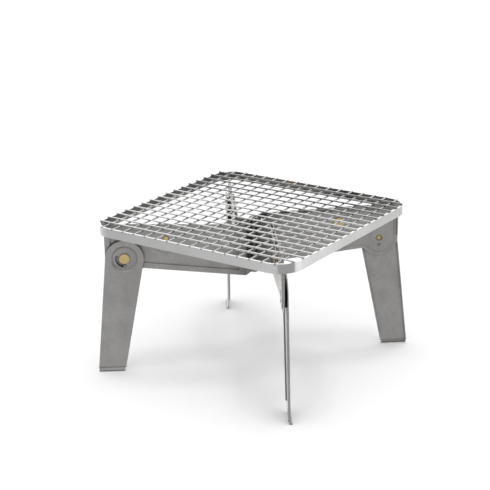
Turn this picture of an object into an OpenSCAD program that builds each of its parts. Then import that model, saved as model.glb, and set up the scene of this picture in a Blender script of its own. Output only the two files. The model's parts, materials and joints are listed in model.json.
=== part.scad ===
// Folding campfire stand: four sheet-metal arms round one hub pin, a folding leg and a folding
// swing bar on each arm, and a loose square grate. Z = 0 is the ground. The grate's sides lie along
// X and Y. Each arm is drawn once in its own frame, (reach, side, height): reach runs outwards
// from the hub, side is square to the arm, and the leg is on the positive side.

/* [Grate] */
// Outer width of the square grate
grate_w = 344; // [320:2:360]
// Height of the flat-bar rim
rim_h = 14; // [10:1:16]
// Thickness of the flat-bar rim
rim_t = 3; // [2:0.5:3]
// Outer radius of the rim's corners
rim_corner_r = 34; // [28:1:36]
// Distance between neighbouring wires
wire_pitch = 20; // [18:1:20]
// Wires in each direction
wire_count = 16; // [14:2:16]
// Diameter of the wires
wire_d = 2.6; // [2:0.2:3]

/* [Frame] */
// Height of the rim's top edge above the ground
rim_top_z = 232; // [225:1:240]
// Distance from the hub's axis to the plane of each arm
arm_offset = 25.8; // [25:0.2:27]
// Turn of the arms from the grate's diagonals, which brings the arm ends to the grate's corners
arm_turn = 7; // [6:0.5:8]
// Reach of an arm's outer end
arm_reach = 221.5; // [220:0.5:222]
// Thickness of the arm, leg and swing bar sheet
sheet_t = 1.5; // [1.2:0.1:1.6]
// Width of the raised border round an arm's sunk panel
border_w = 8.5; // [7:0.5:10]

/* [Leg] */
// Reach of the leg's rivet
leg_pivot_reach = 193; // [191:0.5:194]
// Depth of the leg's rivet below the rim's top edge
leg_pivot_drop = 54.5; // [52:0.5:56]
// Radius of the round heads of the leg and of the arm's end
head_r = 28.5; // [27:0.5:28.5]
// Reach of the foot's outer corner
foot_out_reach = 239.5; // [236:0.5:242]
// Width of the foot
foot_w = 40.5; // [36:0.5:42]
// Fold of a leg between its stops
leg_fold = 105; // [90:1:105]

/* [Swing bar] */
// Reach of the swing bar's rivet
bar_pivot_reach = 131; // [126:1:134]
// Depth of the swing bar's rivet below the rim's top edge
bar_pivot_drop = 27; // [26:0.5:29]
// Width of the swing bar
bar_w = 34; // [28:1:35]

/* [Hidden] */
$fn = 64;

// Number of each arm, going round from the left
LEFT = 0;
FRONT = 1;
RIGHT = 2;
REAR = 3;

STEEL = [0.64, 0.63, 0.61];
WIRE = [0.80, 0.80, 0.79];
BRASS = [0.78, 0.68, 0.45];

// Small gap between parts that move on each other
gap = 0.3;
// Running clearance on the radius of a rivet in its hole, and along it
run_gap = 0.05;
end_play = 0.1;
// Thin overlap that joins two pieces of one sheet
weld = 0.02;
// How far a wire's weld sinks into its notch in the rim, on the radius
wire_weld = 0.15;

// ---- heights
// The lower wires lie in notches in the rim, and the upper wires lie on its top edge
lower_wire_z = rim_top_z - 0.85;
upper_wire_z = lower_wire_z + wire_d - 0.8;
leg_pivot_z = rim_top_z - leg_pivot_drop;
bar_pivot_z = rim_top_z - bar_pivot_drop;
arm_top_out_z = lower_wire_z - wire_d / 2 - gap;
arm_top_in_z = rim_top_z - 9;
arm_bottom_out_z = rim_top_z - 71;
arm_bottom_in_z = rim_top_z - 88.5;

// ---- an arm's own outline, as (reach, height)
arm_in_reach = 14;
panel_in_reach = arm_in_reach + 10;
arm_bottom_out_reach = 165;
arm_top_flat_reach = 175;
arm_nose_reach = arm_reach - 6.5;
arm_nose_drop = 15.5;
fillet_r = 8;
// Centre of the hollow curve between an arm's bottom edge and its round end
fillet_z = arm_bottom_out_z - fillet_r;
fillet_reach = leg_pivot_reach - sqrt(pow(head_r + fillet_r, 2) - pow(fillet_z - leg_pivot_z, 2));

// ---- places across the arm, as side
arm_face = sheet_t;
panel_back = -sheet_t;
end_wall_back = -2.7;
end_wall_low_z = leg_pivot_z + 3;
end_wall_high_z = arm_top_out_z - arm_nose_drop - 1;
leg_spacer_face = arm_face + 0.6;
leg_dish_back = leg_spacer_face + end_play;
leg_dish_face = leg_dish_back + sheet_t;
leg_plate_face = 6.8;
leg_plate_back = leg_plate_face - sheet_t;
leg_flange_back = 3.2;
bar_spacer_back = panel_back - 0.8;
bar_face = bar_spacer_back - end_play;
bar_back = bar_face - sheet_t;

// ---- rivets and holes
leg_rivet_r = 4;
leg_head_r = 7.5;
leg_recess_r = 4.8;
leg_head_t = 1.6;
leg_spacer_r = 9;
bar_rivet_r = 3.5;
bar_head_r = 7.5;
bar_recess_r = 4.6;
bar_head_t = 1.6;
bar_spacer_r = 8;
stop_pin_r = 2;
stop_pin_drop = 11.3;
slot_half_w = stop_pin_r + 0.3;
dish_r = 18.7;
dish_wall_r = 21.4;
ring_r = 22.5;
ring_w = 1.2;
ring_t = 0.6;

// ---- leg outline
foot_in_reach = foot_out_reach - foot_w;
foot_mid_reach = foot_out_reach - foot_w / 2;
leg_head_out_reach = leg_pivot_reach + head_r;
leg_head_in_reach = leg_pivot_reach - head_r + 1.8;
toe_h = 4.5;
toe_out = 2.6;
toe_trim = 1;
// Heights at which the turned-in edges start: the outer one runs almost to the toe
outer_flange_z = toe_h + 0.5;
inner_flange_z = 17;

// ---- swing bar outline
bar_tip_reach = arm_in_reach + 4;

// ---- hub
knuckle_r = 6;
hub_pin_r = 3.5;
hub_head_r = 6.5;
hub_head_t = 2;
hub_washer_r = 7.5;
hub_washer_t = 1;
knuckle_h = (arm_top_in_z - arm_bottom_in_z) / 4;
web_reach = norm([arm_in_reach, arm_offset + arm_face / 2]);
web_turn = atan2(arm_offset + arm_face / 2, arm_in_reach);
// The tall slot that eases the bend between an arm and its web
slot_w = 2;
slot_top_z = rim_top_z - 17;
slot_bottom_z = rim_top_z - 58;
slot_cut = 8;

// ---- grate
wire_end = grate_w / 2 - 0.3;

// ================================================================ helpers

function arm_angle(i) = 225 - arm_turn + 90 * i;

// Puts a piece drawn in the arm's frame on arm i
module on_arm(i) {
    rotate([0, 0, arm_angle(i)])
        translate([0, arm_offset, 0])
            children();
}

// Gives a (reach, height) outline its thickness, from side a to side b
module sheet(a, b) {
    translate([0, b, 0])
        rotate([90, 0, 0])
            linear_extrude(b - a)
                children();
}

// Round bar across the arm at a reach and height, from side a to side b
module cross_bar(reach, z, r, a, b) {
    translate([reach, b, z])
        rotate([90, 0, 0])
            cylinder(r = r, h = b - a);
}

module disc_2d(reach, z, r) {
    translate([reach, z]) circle(r = r);
}

// ================================================================ arm

// Straight-sided part of an arm's outline, drawn in by a margin
module arm_body_2d(inset) {
    polygon([
        [arm_in_reach + inset, arm_bottom_in_z + inset],
        [arm_bottom_out_reach, arm_bottom_out_z + inset],
        [leg_pivot_reach, arm_bottom_out_z + inset],
        [leg_pivot_reach, leg_pivot_z],
        [arm_reach - inset, leg_pivot_z],
        [arm_reach - inset, arm_top_out_z - arm_nose_drop - inset / 2],
        [arm_nose_reach - inset, arm_top_out_z - inset],
        [arm_top_flat_reach, arm_top_out_z - inset],
        [arm_in_reach + inset, arm_top_in_z - inset]
    ]);
}

// Whole outline, drawn in by a margin: the body, the round end and the hollow between them
module arm_outline_2d(inset) {
    arm_body_2d(inset);
    disc_2d(leg_pivot_reach, leg_pivot_z, head_r - inset);
    difference() {
        polygon([
            [fillet_reach, fillet_z],
            [fillet_reach, arm_bottom_out_z + inset],
            [leg_pivot_reach, leg_pivot_z]
        ]);
        disc_2d(fillet_reach, fillet_z, fillet_r + inset);
    }
}

// The panel that is sunk behind the border, which ends short of the hub
module arm_panel_2d(grow) {
    intersection() {
        arm_outline_2d(border_w - grow);
        translate([panel_in_reach - grow, 0])
            square([arm_reach, rim_top_z]);
    }
}

module arm_holes_2d() {
    disc_2d(leg_pivot_reach, leg_pivot_z, leg_recess_r);
    disc_2d(leg_pivot_reach, leg_pivot_z - stop_pin_drop, stop_pin_r);
    disc_2d(bar_pivot_reach, bar_pivot_z, bar_recess_r);
}

// Web from the arm's inner end to the hub, with its own knuckle on the hub pin
module arm_web(i) {
    knuckle_z = arm_bottom_in_z + i * knuckle_h;
    translate([0, -arm_offset, 0])
        rotate([0, 0, web_turn])
            difference() {
                union() {
                    translate([knuckle_r - 1, -sheet_t / 2, knuckle_z])
                        cube([web_reach - knuckle_r + 1, sheet_t, knuckle_h]);
                    translate([knuckle_r + 1.5, -sheet_t / 2, arm_bottom_in_z])
                        cube([
                            web_reach - knuckle_r - 1.5, sheet_t,
                            arm_top_in_z - arm_bottom_in_z
                        ]);
                    translate([0, 0, knuckle_z])
                        cylinder(r = knuckle_r, h = knuckle_h);
                }
                translate([0, 0, arm_bottom_in_z - 1])
                    cylinder(r = hub_pin_r + run_gap, h = 4 * knuckle_h + 2);
            }
}

module arm(i) {
    color(STEEL)
        on_arm(i)
            difference() {
                union() {
                    // border
                    sheet(0, arm_face)
                        difference() {
                            arm_outline_2d(0);
                            arm_panel_2d(0);
                        }
                    // sunk panel
                    sheet(panel_back, weld)
                        difference() {
                            arm_panel_2d(sheet_t);
                            arm_holes_2d();
                        }
                    // end wall above the leg's rivet
                    translate([arm_reach - sheet_t, end_wall_back, end_wall_low_z])
                        cube([
                            sheet_t, arm_face - end_wall_back,
                            end_wall_high_z - end_wall_low_z
                        ]);
                    // pressed ring round the swing bar's rivet
                    sheet(0, ring_t)
                        intersection() {
                            difference() {
                                disc_2d(bar_pivot_reach, bar_pivot_z, ring_r);
                                disc_2d(bar_pivot_reach, bar_pivot_z, ring_r - ring_w);
                            }
                            arm_panel_2d(0);
                        }
                    arm_web(i);
                }
                // slot at the bend
                translate([arm_in_reach - slot_w / 2, -slot_cut / 2, slot_bottom_z])
                    cube([slot_w, slot_cut, slot_top_z - slot_bottom_z]);
            }
}

// ================================================================ leg

// Leg outline, drawn in by a margin along its two long edges
module leg_body_2d(inset) {
    polygon([
        [foot_in_reach + inset, 0],
        [foot_out_reach - inset, 0],
        [leg_head_out_reach - inset, leg_pivot_z],
        [leg_pivot_reach, leg_pivot_z],
        [leg_head_in_reach + inset, leg_pivot_z - 12]
    ]);
}

module leg_outline_2d() {
    intersection() {
        union() {
            leg_body_2d(0);
            disc_2d(leg_pivot_reach, leg_pivot_z, head_r);
        }
        translate([0, toe_h])
            square([foot_out_reach + 1, rim_top_z]);
    }
}

// Arc-shaped slot that runs on the stop pin while the leg folds
module stop_slot_2d() {
    translate([leg_pivot_reach, leg_pivot_z]) {
        difference() {
            circle(r = stop_pin_drop + slot_half_w);
            circle(r = stop_pin_drop - slot_half_w);
            // keeps only the sector from straight down towards the leg's outer edge
            polygon([[0, 0], [0, -30], [-30, -30], [-30, 30], [30, 30],
                30 * [sin(leg_fold), -cos(leg_fold)]]);
        }
        translate([0, -stop_pin_drop]) circle(r = slot_half_w);
        translate(stop_pin_drop * [sin(leg_fold), -cos(leg_fold)]) circle(r = slot_half_w);
    }
}

// Turned-in edge on the outer (side = 1) or inner (side = -1) half, from a height up to the head
module leg_flange(side, from_z) {
    half_w = 60;
    top_z = leg_pivot_z - 10;
    sheet(leg_flange_back, leg_plate_back + weld)
        intersection() {
            difference() {
                leg_body_2d(0);
                leg_body_2d(sheet_t);
                disc_2d(leg_pivot_reach, leg_pivot_z, head_r);
            }
            polygon([
                [foot_mid_reach, from_z],
                [foot_mid_reach + side * half_w, from_z],
                [leg_pivot_reach + side * half_w, top_z],
                [leg_pivot_reach, top_z]
            ]);
        }
}

module leg_shape() {
    difference() {
        union() {
            // main plate
            sheet(leg_plate_back, leg_plate_face)
                difference() {
                    leg_outline_2d();
                    disc_2d(leg_pivot_reach, leg_pivot_z, dish_wall_r - 1);
                }
            // sloping wall of the dish in the head
            translate([leg_pivot_reach, leg_plate_face, leg_pivot_z])
                rotate([90, 0, 0])
                    rotate_extrude()
                        polygon([
                            [dish_wall_r - 1.2, 0],
                            [dish_wall_r, 0],
                            [dish_wall_r, sheet_t],
                            [dish_r + 0.2, leg_plate_face - leg_dish_back],
                            [dish_r - 1.3, leg_plate_face - leg_dish_back],
                            [dish_r - 1.3, leg_plate_face - leg_dish_face]
                        ]);
            // floor of the dish
            sheet(leg_dish_back, leg_dish_face)
                disc_2d(leg_pivot_reach, leg_pivot_z, dish_r);
            // turned-in edges of the long sides
            leg_flange(1, outer_flange_z);
            leg_flange(-1, inner_flange_z);
            leg_toe();
        }
        sheet(0, leg_plate_face + 1)
            union() {
                disc_2d(leg_pivot_reach, leg_pivot_z, leg_rivet_r + run_gap);
                stop_slot_2d();
            }
    }
}

// Lowest strip of the leg, which leans out to make a toe
module leg_toe() {
    lean = atan2(toe_out, toe_h);
    intersection() {
        translate([0, leg_plate_back, toe_h])
            rotate([lean, 0, 0])
                translate([foot_in_reach + toe_trim, 0, -2 * toe_h])
                    cube([foot_w - 2 * toe_trim, sheet_t, 2 * toe_h + 0.6]);
        translate([foot_in_reach - 1, 0, 0])
            cube([foot_w + 2, 20, 3 * toe_h]);
    }
}

module leg(i) {
    color(STEEL)
        on_arm(i)
            leg_shape();
}

// ================================================================ swing bar

module bar_shape() {
    half = bar_w / 2;
    sheet(bar_back, bar_face)
        difference() {
            union() {
                disc_2d(bar_pivot_reach, bar_pivot_z, half);
                polygon([
                    [bar_pivot_reach, bar_pivot_z + half],
                    [bar_tip_reach + 4, bar_pivot_z + half],
                    [bar_tip_reach, bar_pivot_z + half - 6],
                    [bar_tip_reach, bar_pivot_z - half + 4],
                    [bar_tip_reach + 4, bar_pivot_z - half],
                    [bar_pivot_reach, bar_pivot_z - half]
                ]);
            }
            disc_2d(bar_pivot_reach, bar_pivot_z, bar_rivet_r + run_gap);
        }
}

module swing_bar(i) {
    color(STEEL)
        on_arm(i)
            bar_shape();
}

// ================================================================ rivets, spacers and pins

module washer(reach, z, bore_r, outer_r, a, b) {
    sheet(a, b)
        difference() {
            disc_2d(reach, z, outer_r);
            disc_2d(reach, z, bore_r);
        }
}

module leg_rivet(i) {
    head_back = leg_dish_face + end_play;
    color(BRASS)
        on_arm(i) {
            cross_bar(leg_pivot_reach, leg_pivot_z, leg_rivet_r, -0.4, head_back);
            cross_bar(leg_pivot_reach, leg_pivot_z, leg_head_r, head_back, head_back + leg_head_t);
            cross_bar(leg_pivot_reach, leg_pivot_z, 2, -1.1, -0.4);
        }
}

module leg_spacer(i) {
    color(STEEL)
        on_arm(i)
            washer(leg_pivot_reach, leg_pivot_z, leg_rivet_r, leg_spacer_r, weld, leg_spacer_face);
}

module bar_rivet(i) {
    head_face = bar_back - end_play;
    color(BRASS)
        on_arm(i) {
            cross_bar(bar_pivot_reach, bar_pivot_z, bar_rivet_r, head_face, -0.5);
            cross_bar(bar_pivot_reach, bar_pivot_z, bar_head_r, head_face - bar_head_t, head_face);
        }
}

module bar_spacer(i) {
    color(STEEL)
        on_arm(i)
            washer(
                bar_pivot_reach, bar_pivot_z, bar_rivet_r, bar_spacer_r,
                bar_spacer_back, panel_back
            );
}

module stop_pin(i) {
    color(STEEL)
        on_arm(i)
            cross_bar(
                leg_pivot_reach, leg_pivot_z - stop_pin_drop, stop_pin_r,
                panel_back - 0.8, leg_dish_face + 0.8
            );
}

module hub_pin() {
    pin_h = 4 * knuckle_h + 2 * hub_washer_t;
    color(STEEL)
        translate([0, 0, arm_bottom_in_z - hub_washer_t]) {
            cylinder(r = hub_pin_r, h = pin_h);
            translate([0, 0, -hub_head_t])
                cylinder(r = hub_head_r, h = hub_head_t);
            translate([0, 0, pin_h])
                cylinder(r = hub_head_r, h = hub_head_t);
        }
}

module hub_washer(z) {
    color(STEEL)
        translate([0, 0, z])
            difference() {
                cylinder(r = hub_washer_r, h = hub_washer_t);
                translate([0, 0, -1])
                    cylinder(r = hub_pin_r + run_gap, h = hub_washer_t + 2);
            }
}

// ================================================================ grate

module rounded_square_2d(w, r) {
    side = w - 2 * r;
    square([w, side], center = true);
    square([side, w], center = true);
    for (x = [-1, 1], y = [-1, 1])
        translate([x, y] * side / 2) circle(r = r);
}

module grate_rim() {
    color(WIRE)
        difference() {
            translate([0, 0, rim_top_z - rim_h])
                linear_extrude(rim_h)
                    difference() {
                        rounded_square_2d(grate_w, rim_corner_r);
                        rounded_square_2d(grate_w - 2 * rim_t, rim_corner_r - rim_t);
                    }
            rotate([0, 0, 90])
                wire_row(lower_wire_z, wire_d - 2 * wire_weld, 2);
        }
}

// Half length of the wire at a distance from the grate's middle, to the rim's outer face
function wire_half(at) =
    let (past = abs(at) - (grate_w / 2 - rim_corner_r))
    past <= 0 ? wire_end
        : wire_end - rim_corner_r + sqrt(pow(rim_corner_r, 2) - pow(past, 2));

// One row of parallel wires along X
// One row of parallel wires, or of the notches they lie in, which are thinner and longer
module wire_row(z, d, extra) {
    for (k = [0 : wire_count - 1]) {
        at = (k - (wire_count - 1) / 2) * wire_pitch;
        half = wire_half(at) + extra;
        translate([-half, at, z])
            rotate([0, 90, 0])
                cylinder(d = d, h = 2 * half);
    }
}

module grate_lower_wires() {
    color(WIRE)
        rotate([0, 0, 90])
            wire_row(lower_wire_z, wire_d, 0);
}

module grate_upper_wires() {
    color(WIRE)
        wire_row(upper_wire_z, wire_d, 0);
}

// ================================================================ the parts

grate_rim();
grate_lower_wires();
grate_upper_wires();
hub_pin();
hub_washer(arm_bottom_in_z - hub_washer_t);  // hub_washer_low
hub_washer(arm_top_in_z);  // hub_washer_high

arm(LEFT);  // arm_left
arm(FRONT);  // arm_front
arm(RIGHT);  // arm_right
arm(REAR);  // arm_rear

leg(LEFT);  // leg_left
leg(FRONT);  // leg_front
leg(RIGHT);  // leg_right
leg(REAR);  // leg_rear

leg_rivet(LEFT);  // leg_rivet_left
leg_rivet(FRONT);  // leg_rivet_front
leg_rivet(RIGHT);  // leg_rivet_right
leg_rivet(REAR);  // leg_rivet_rear

leg_spacer(LEFT);  // leg_spacer_left
leg_spacer(FRONT);  // leg_spacer_front
leg_spacer(RIGHT);  // leg_spacer_right
leg_spacer(REAR);  // leg_spacer_rear

stop_pin(LEFT);  // stop_pin_left
stop_pin(FRONT);  // stop_pin_front
stop_pin(RIGHT);  // stop_pin_right
stop_pin(REAR);  // stop_pin_rear

swing_bar(LEFT);  // swing_bar_left
swing_bar(FRONT);  // swing_bar_front
swing_bar(RIGHT);  // swing_bar_right
swing_bar(REAR);  // swing_bar_rear

bar_rivet(LEFT);  // bar_rivet_left
bar_rivet(FRONT);  // bar_rivet_front
bar_rivet(RIGHT);  // bar_rivet_right
bar_rivet(REAR);  // bar_rivet_rear

bar_spacer(LEFT);  // bar_spacer_left
bar_spacer(FRONT);  // bar_spacer_front
bar_spacer(RIGHT);  // bar_spacer_right
bar_spacer(REAR);  // bar_spacer_rear
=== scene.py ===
import bpy
import bmesh
import json
import math
from mathutils import Matrix, Vector


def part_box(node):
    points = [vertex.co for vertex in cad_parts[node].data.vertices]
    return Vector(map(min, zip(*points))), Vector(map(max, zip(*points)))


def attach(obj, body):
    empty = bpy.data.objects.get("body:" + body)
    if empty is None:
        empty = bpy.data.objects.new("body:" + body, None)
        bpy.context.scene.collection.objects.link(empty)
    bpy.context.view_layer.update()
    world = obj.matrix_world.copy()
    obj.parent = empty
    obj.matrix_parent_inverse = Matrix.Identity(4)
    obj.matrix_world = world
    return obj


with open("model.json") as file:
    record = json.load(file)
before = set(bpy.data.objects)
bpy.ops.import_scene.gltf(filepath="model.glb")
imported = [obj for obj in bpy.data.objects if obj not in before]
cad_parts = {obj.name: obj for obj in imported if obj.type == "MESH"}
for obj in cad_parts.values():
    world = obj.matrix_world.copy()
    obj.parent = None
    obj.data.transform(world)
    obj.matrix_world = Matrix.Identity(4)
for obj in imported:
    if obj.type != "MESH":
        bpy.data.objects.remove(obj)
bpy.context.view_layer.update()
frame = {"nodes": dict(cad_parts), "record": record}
nodes = frame["nodes"]
scene = bpy.context.scene

rim_lo, rim_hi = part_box("grate_rim")
rim_top = rim_hi.z


# ---------------------------------------------------------------- camera

# Where the camera looks from, in degrees, and the point in the rim's plane that it looks at
CAMERA_TURN, CAMERA_RISE, CAMERA_ROLL = -55.04, 19.15, -1.08
CAMERA_AIM = (0.0724, -0.1266)
CAMERA_DISTANCE = 1.8796
CAMERA_LENS, CAMERA_SENSOR = 99.62, 36.0


def make_camera():
    az, el, roll = (math.radians(a) for a in (CAMERA_TURN, CAMERA_RISE, CAMERA_ROLL))
    target = Vector((*CAMERA_AIM, rim_top))
    back = Vector((math.cos(el) * math.cos(az), math.cos(el) * math.sin(az), math.sin(el)))
    right = (-back).cross(Vector((0, 0, 1))).normalized()
    up = right.cross(-back)
    cam_right = math.cos(roll) * right + math.sin(roll) * up
    cam_up = -math.sin(roll) * right + math.cos(roll) * up
    data = bpy.data.cameras.new("camera")
    data.sensor_width = CAMERA_SENSOR
    data.lens = CAMERA_LENS
    data.clip_start, data.clip_end = 0.05, 50.0
    cam = bpy.data.objects.new("camera", data)
    turn = Matrix((cam_right, cam_up, back)).transposed()
    cam.matrix_world = Matrix.Translation(target + back * CAMERA_DISTANCE) @ turn.to_4x4()
    scene.collection.objects.link(cam)
    scene.camera = cam


# ---------------------------------------------------------------- node helpers

class Graph:
    """A small helper for building a material's nodes."""

    def __init__(self, name):
        self.mat = bpy.data.materials.new(name)
        self.mat.use_nodes = True
        self.tree = self.mat.node_tree
        self.tree.nodes.clear()
        out = self.add("ShaderNodeOutputMaterial")
        self.bsdf = self.add("ShaderNodeBsdfPrincipled")
        self.link(self.bsdf.outputs["BSDF"], out.inputs["Surface"])
        self.coord = self.add("ShaderNodeTexCoord").outputs["Object"]

    def add(self, kind, **settings):
        node = self.tree.nodes.new(kind)
        for key, value in settings.items():
            setattr(node, key, value)
        return node

    def link(self, a, b):
        self.tree.links.new(a, b)

    def stretched(self, scale):
        node = self.add("ShaderNodeMapping")
        node.inputs["Scale"].default_value = scale
        self.link(self.coord, node.inputs["Vector"])
        return node.outputs["Vector"]

    def noise(self, scale, detail=3.0, rough=0.5, vector=None):
        node = self.add("ShaderNodeTexNoise")
        node.inputs["Scale"].default_value = scale
        node.inputs["Detail"].default_value = detail
        node.inputs["Roughness"].default_value = rough
        self.link(vector or self.coord, node.inputs["Vector"])
        return node.outputs["Fac"]

    def ramp(self, source, stops):
        node = self.add("ShaderNodeValToRGB")
        ramp = node.color_ramp
        while len(ramp.elements) < len(stops):
            ramp.elements.new(0.5)
        for element, (at, colour) in zip(ramp.elements, stops):
            element.position = at
            element.color = (*colour, 1.0)
        self.link(source, node.inputs["Fac"])
        return node.outputs["Color"]

    def span(self, source, low, high, to_low, to_high):
        node = self.add("ShaderNodeMapRange")
        for key, value in (("From Min", low), ("From Max", high),
                           ("To Min", to_low), ("To Max", to_high)):
            node.inputs[key].default_value = value
        self.link(source, node.inputs["Value"])
        return node.outputs["Result"]

    def mix(self, fac, a, b, kind="MIX"):
        node = self.add("ShaderNodeMix", data_type="RGBA", blend_type=kind)
        if isinstance(fac, float):
            node.inputs[0].default_value = fac
        else:
            self.link(fac, node.inputs[0])
        for socket, value in ((node.inputs[6], a), (node.inputs[7], b)):
            if isinstance(value, tuple):
                socket.default_value = (*value, 1.0)
            else:
                self.link(value, socket)
        return node.outputs[2]

    def vector(self, operation, a, b=(0.0, 0.0, 0.0)):
        node = self.add("ShaderNodeVectorMath", operation=operation)
        for socket, value in zip(node.inputs, (a, b)):
            if isinstance(value, tuple):
                socket.default_value = value
            else:
                self.link(value, socket)
        return node.outputs["Value" if operation in ("DOT_PRODUCT", "LENGTH") else "Vector"]

    def flat(self):
        """The surface point's place across the vertical axis."""
        return self.vector("MULTIPLY", self.coord, (1.0, 1.0, 0.0))

    def bump(self, height, strength, distance, normal=None):
        node = self.add("ShaderNodeBump")
        node.inputs["Strength"].default_value = strength
        node.inputs["Distance"].default_value = distance
        self.link(height, node.inputs["Height"])
        if normal:
            self.link(normal, node.inputs["Normal"])
        return node.outputs["Normal"]

    def painted_crease_shade(self, colour, reach, dark, shut=0.35, clear=0.80):
        """Paints shade into inside corners and creases: the colour is darkened where ambient
        occlusion finds nearby surfaces.
        """
        node = self.add("ShaderNodeAmbientOcclusion", samples=6)
        node.inputs["Distance"].default_value = reach
        open_part = self.span(node.outputs["AO"], shut, clear, dark, 1.0)
        return self.mix(1.0, colour, open_part, "MULTIPLY")

    def bevel(self, radius):
        node = self.add("ShaderNodeBevel", samples=4)
        node.inputs["Radius"].default_value = radius
        return node.outputs["Normal"]


def grey(v, warm=0.0):
    return (v * (1 + warm), v, v * (1 - 1.4 * warm))


# ---------------------------------------------------------------- materials

# Painted shade around the hub: it fades out between these distances from the hub's axis
HUB_SHADE_REACH = (0.022, 0.052)
# Painted shade at the foot: a dark edge where it stands on the ground and a dark line at the toe's
# bend, as shade against part of FOOT_SHADE_HEIGHT
FOOT_SHADE_HEIGHT = 0.010
FOOT_SHADE_BANDS = ((0.10, 0.42), (0.20, 1.0), (0.40, 1.0), (0.48, 0.66), (0.60, 0.66), (0.70, 1.0))


def sheet_steel(name, tone, hub_shade_tone=1.0):
    """Tumbled stainless sheet: dull satin, cloudy mottling, faint rolling lines and scuffs.
    hub_shade_tone paints shade into the middle around the hub, and the edge that stands on the ground
    and the toe's bend line get painted shade."""
    g = Graph(name)
    cloud = g.noise(28.0, 5.0, 0.62)
    grain = g.noise(900.0, 2.0, 0.6)
    base = g.ramp(cloud, [
        (0.30, grey(tone * 0.87, 0.018)),
        (0.52, grey(tone, 0.016)),
        (0.74, grey(tone * 1.12, 0.013))])
    speck = g.span(g.noise(260.0, 3.0, 0.7), 0.42, 0.72, 0.94, 1.05)
    colour = g.mix(1.0, base, speck, "MULTIPLY")
    # Painted shade: the colour is darkened towards the hub's axis by hub_shade_tone
    hub_shade = g.span(g.vector("LENGTH", g.flat()), *HUB_SHADE_REACH, hub_shade_tone, 1.0)
    colour = g.mix(1.0, colour, hub_shade, "MULTIPLY")
    # Painted shade along the foot's ground edge and along the toe's bend line
    height = g.vector("DOT_PRODUCT", g.coord, (0.0, 0.0, 1.0))
    foot_shade = g.ramp(g.span(height, 0.0, FOOT_SHADE_HEIGHT, 0.0, 1.0),
                  [(at, grey(v)) for at, v in FOOT_SHADE_BANDS])
    colour = g.mix(1.0, colour, foot_shade, "MULTIPLY")
    worn = g.span(g.noise(420.0, 2.0, 0.8), 0.62, 0.72, 0.0, 0.35)
    colour = g.mix(worn, colour, grey(tone * 1.35, 0.012))
    # Painted shade: inside corners and creases are darkened by ambient occlusion
    g.link(g.painted_crease_shade(colour, 0.006, 0.25, 0.30, 0.92), g.bsdf.inputs["Base Color"])
    g.bsdf.inputs["Metallic"].default_value = 1.0
    g.link(g.span(cloud, 0.3, 0.75, 0.50, 0.36), g.bsdf.inputs["Roughness"])
    lines = g.noise(60.0, 2.0, 0.5, g.stretched((1.0, 1.0, 14.0)))
    normal = g.bump(lines, 0.10, 0.0004, g.bevel(0.0013))
    normal = g.bump(cloud, 0.12, 0.0008, normal)
    g.link(g.bump(grain, 0.10, 0.0001, normal), g.bsdf.inputs["Normal"])
    return g.mat


def bright_steel(name, tone, rough, inward_tone=1.0):
    """Electropolished stainless wire and flat bar: bright satin with faint drawing lines.
    inward_tone darkens faces that look towards the middle."""
    g = Graph(name)
    cloud = g.noise(22.0, 4.0, 0.55)
    drawn = g.noise(140.0, 3.0, 0.6, g.stretched((1.0, 1.0, 9.0)))
    base = g.ramp(cloud, [
        (0.32, grey(tone * 0.93, 0.006)),
        (0.70, grey(tone * 1.03, 0.002))])
    streak = g.span(drawn, 0.35, 0.68, 0.95, 1.04)
    colour = g.mix(1.0, base, streak, "MULTIPLY")
    facing = g.add("ShaderNodeTexCoord").outputs["Normal"]
    outward = g.vector("DOT_PRODUCT", g.flat(), facing)
    inward_darkening = g.span(outward, -0.06, -0.02, inward_tone, 1.0)
    colour = g.mix(1.0, colour, inward_darkening, "MULTIPLY")
    # Painted shade: inside corners and creases are darkened by ambient occlusion
    g.link(g.painted_crease_shade(colour, 0.002, 0.45), g.bsdf.inputs["Base Color"])
    g.bsdf.inputs["Metallic"].default_value = 1.0
    g.link(g.span(drawn, 0.3, 0.7, rough * 0.85, rough * 1.2), g.bsdf.inputs["Roughness"])
    normal = g.bump(drawn, 0.10, 0.0002, g.bevel(0.0004))
    g.link(normal, g.bsdf.inputs["Normal"])
    return g.mat


def brass():
    g = Graph("satin_brass")
    cloud = g.noise(260.0, 4.0, 0.6)
    base = g.ramp(cloud, [
        (0.30, (0.90, 0.66, 0.28)),
        (0.55, (0.98, 0.77, 0.38)),
        (0.75, (1.00, 0.85, 0.50))])
    # Painted shade: inside corners and creases are darkened by ambient occlusion
    g.link(g.painted_crease_shade(base, 0.005, 0.12, 0.55, 0.97), g.bsdf.inputs["Base Color"])
    g.bsdf.inputs["Metallic"].default_value = 1.0
    g.link(g.span(cloud, 0.3, 0.7, 0.28, 0.42), g.bsdf.inputs["Roughness"])
    g.link(g.bump(cloud, 0.15, 0.0002, g.bevel(0.0004)), g.bsdf.inputs["Normal"])
    return g.mat


MATERIALS = {
    "grate_steel": bright_steel("bright_steel", 0.67, 0.15, 0.38),
    "arm_sheet": sheet_steel("sheet_arm", 0.55, 0.38),
    "leg_sheet": sheet_steel("sheet_leg", 0.55),
    "pin_steel": bright_steel("pin_steel", 0.38, 0.35),
    "rivet_brass": brass(),
}
# Painted shade: a darker copy of the wire steel for the lower row of wires, which lies under the
# upper row; the weld beads use it too
LOWER_WIRE_SHADED = bright_steel("wire_steel_shaded", 0.42, 0.15)


def dress_nodes():
    slots = {s["node"]: s["material_slot"] for s in frame["record"]["subparts"]}
    for name, obj in nodes.items():
        if not obj.material_slots:
            obj.data.materials.append(None)
        for entry in obj.material_slots:
            entry.material = MATERIALS[slots[name]]
    # Painted shade: the lower row of wires gets the darker copy of the wire steel
    for entry in nodes["grate_lower_wires"].material_slots:
        entry.material = LOWER_WIRE_SHADED


# ---------------------------------------------------------------- weld beads

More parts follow.
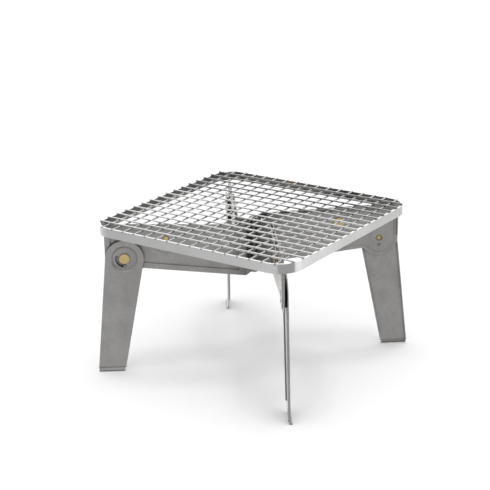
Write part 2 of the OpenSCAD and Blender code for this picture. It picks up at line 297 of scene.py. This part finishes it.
WIRE_PITCH, WIRES = 0.020, 16
RIM_CORNER, RIM_T = 0.034, 0.003
# Half sizes of a bead: along a lower wire's end, along an upper wire's end, and at a crossing
BEAD_LOWER = (0.0021, 0.0013, 0.0005)
BEAD_UPPER = (0.0013, 0.0019, 0.0006)
BEAD_CROSSING = (0.0017, 0.0017, 0.0008)


def rim_reach(at):
    """How far the middle of the rim's top lies from the grate's centre line, off to one side."""
    past = abs(at) - (rim_hi.x - RIM_CORNER)
    inner = rim_hi.x - RIM_T * 0.5
    return inner if past <= 0 else inner - RIM_CORNER + math.sqrt(RIM_CORNER ** 2 - past ** 2)


def make_weld_beads():
    """Small resistance-weld beads where each wire meets the rim and under each crossing."""
    bm = bmesh.new()

    def bead(x, y, z, half):
        place = Matrix.Translation((x, y, z)) @ Matrix.Diagonal((*half, 1.0))
        bmesh.ops.create_icosphere(bm, subdivisions=2, radius=1.0, matrix=place)

    crossing_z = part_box("grate_upper_wires")[0].z
    row = [(k - (WIRES - 1) / 2) * WIRE_PITCH for k in range(WIRES)]
    for at in row:
        reach = rim_reach(at)
        for side in (-1, 1):
            bead(at, side * reach, rim_top, BEAD_LOWER)
            bead(side * reach, at, rim_top, BEAD_UPPER)
        for across in row:
            if abs(across) < reach - RIM_T:
                bead(at, across, crossing_z, BEAD_CROSSING)
    mesh = bpy.data.meshes.new("grate_weld_beads")
    bm.to_mesh(mesh)
    bm.free()
    mesh.shade_smooth()
    beads = bpy.data.objects.new("grate_weld_beads", mesh)
    scene.collection.objects.link(beads)
    # The weld beads take the darker, painted-shade copy of the wire steel
    mesh.materials.append(LOWER_WIRE_SHADED)
    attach(beads, "grate")


# ---------------------------------------------------------------- floor and light

# Brightness of the studio by bearing in degrees from +X: below the horizon, then above it
WALLS = ((-180, 0.80), (-131, 0.49), (-124, 0.66), (-72, 0.64), (-66, 0.40), (12, 0.38),
         (18, 0.95), (56, 1.05), (61, 0.62), (95, 0.80), (120, 1.10), (150, 1.10), (180, 0.80))
UPPER_WALLS = ((-180, 1.30), (-140, 0.80), (-115, 0.50), (-90, 0.30), (20, 0.30), (45, 0.80),
               (75, 1.40), (180, 1.30))
CEILING = 1.0
# Sine of the angle above the horizon where the upper walls, and then the ceiling, take over
RISE, CEILING_RISE = (0.0, 0.14), (0.45, 0.95)
WORLD_STRENGTH = 1.2
FLOOR_HALF = 8.0
FLOOR_SHADE = 0.745
# Name, energy, apparent size in degrees, and tilt about X and Y in degrees
LAMPS = (("overhead", 3.15, 44.0, (1.0, 0.0)), ("fill", 1.30, 140.0, (0.0, 0.0)))


def make_floor():
    bm = bmesh.new()
    bmesh.ops.create_grid(bm, x_segments=1, y_segments=1, size=FLOOR_HALF)
    mesh = bpy.data.meshes.new("floor")
    bm.to_mesh(mesh)
    bm.free()
    floor = bpy.data.objects.new("floor", mesh)
    scene.collection.objects.link(floor)
    mat = bpy.data.materials.new("floor_white")
    mat.use_nodes = True
    bsdf = mat.node_tree.nodes["Principled BSDF"]
    bsdf.inputs["Base Color"].default_value = (*grey(FLOOR_SHADE), 1.0)
    bsdf.inputs["Roughness"].default_value = 1.0
    bsdf.inputs["Specular IOR Level"].default_value = 0.0
    mesh.materials.append(mat)
    floor.visible_glossy = False


def make_world():
    """A studio: a softbox on each side, a dim gap towards the front, and a bright ceiling.
    The steel reflects it, while the picture's own background is plain white."""
    world = bpy.data.worlds.new("studio")
    scene.world = world
    world.use_nodes = True
    world.cycles_visibility.diffuse = False
    tree = world.node_tree
    tree.nodes.clear()

    def add(kind, **settings):
        node = tree.nodes.new(kind)
        for key, value in settings.items():
            setattr(node, key, value)
        return node

    def math_node(operation, a, b):
        node = add("ShaderNodeMath", operation=operation)
        for socket, value in zip(node.inputs, (a, b)):
            if isinstance(value, float):
                socket.default_value = value
            else:
                tree.links.new(value, socket)
        return node.outputs[0]

    def ramp_node(source, stops):
        node = add("ShaderNodeValToRGB")
        elements = node.color_ramp.elements
        while len(elements) < len(stops):
            elements.new(0.5)
        for element, (at, v) in zip(elements, stops):
            element.position = at
            element.color = (v, v, v, 1.0)
        tree.links.new(source, node.inputs["Fac"])
        return node.outputs["Color"]

    def blend(by, a, b):
        node = add("ShaderNodeMix", data_type="RGBA")
        tree.links.new(by, node.inputs[0])
        tree.links.new(a, node.inputs[6])
        if isinstance(b, tuple):
            node.inputs[7].default_value = b
        else:
            tree.links.new(b, node.inputs[7])
        return node.outputs[2]

    split = add("ShaderNodeSeparateXYZ")
    tree.links.new(add("ShaderNodeTexCoord").outputs["Generated"], split.inputs["Vector"])
    x, y, z = split.outputs
    turn = math_node("ARCTAN2", y, x)
    around = math_node("ADD", math_node("DIVIDE", turn, 2 * math.pi), 0.5)
    low_walls, high_walls = (ramp_node(around, [((deg + 180) / 360, v) for deg, v in walls])
                             for walls in (WALLS, UPPER_WALLS))
    above, overhead = (ramp_node(z, [(low, 0.0), (high, 1.0)]) for low, high in (RISE, CEILING_RISE))
    walls = blend(above, low_walls, high_walls)
    sky = blend(overhead, walls, (*grey(CEILING), 1.0))
    background = add("ShaderNodeBackground")
    background.inputs["Strength"].default_value = WORLD_STRENGTH
    plain = add("ShaderNodeBackground")
    plain.inputs["Color"].default_value = (1.0, 1.0, 1.0, 1.0)
    choose = add("ShaderNodeMixShader")
    tree.links.new(add("ShaderNodeLightPath").outputs["Is Camera Ray"], choose.inputs[0])
    tree.links.new(background.outputs["Background"], choose.inputs[1])
    tree.links.new(plain.outputs["Background"], choose.inputs[2])
    tree.links.new(sky, background.inputs["Color"])
    out = add("ShaderNodeOutputWorld")
    tree.links.new(choose.outputs["Shader"], out.inputs["Surface"])


def make_lights():
    """A large overhead lamp for the soft shadow, and a very broad fill that darkens only contacts."""
    for name, energy, angle, tilt in LAMPS:
        data = bpy.data.lights.new(name, "SUN")
        data.energy = energy
        data.angle = math.radians(angle)
        lamp = bpy.data.objects.new(name, data)
        lamp.rotation_euler = (math.radians(tilt[0]), math.radians(tilt[1]), 0.0)
        lamp.visible_glossy = False
        scene.collection.objects.link(lamp)


# ---------------------------------------------------------------- build

make_camera()
make_world()
make_lights()
make_floor()
dress_nodes()
make_weld_beads()

scene.view_settings.view_transform = "Standard"
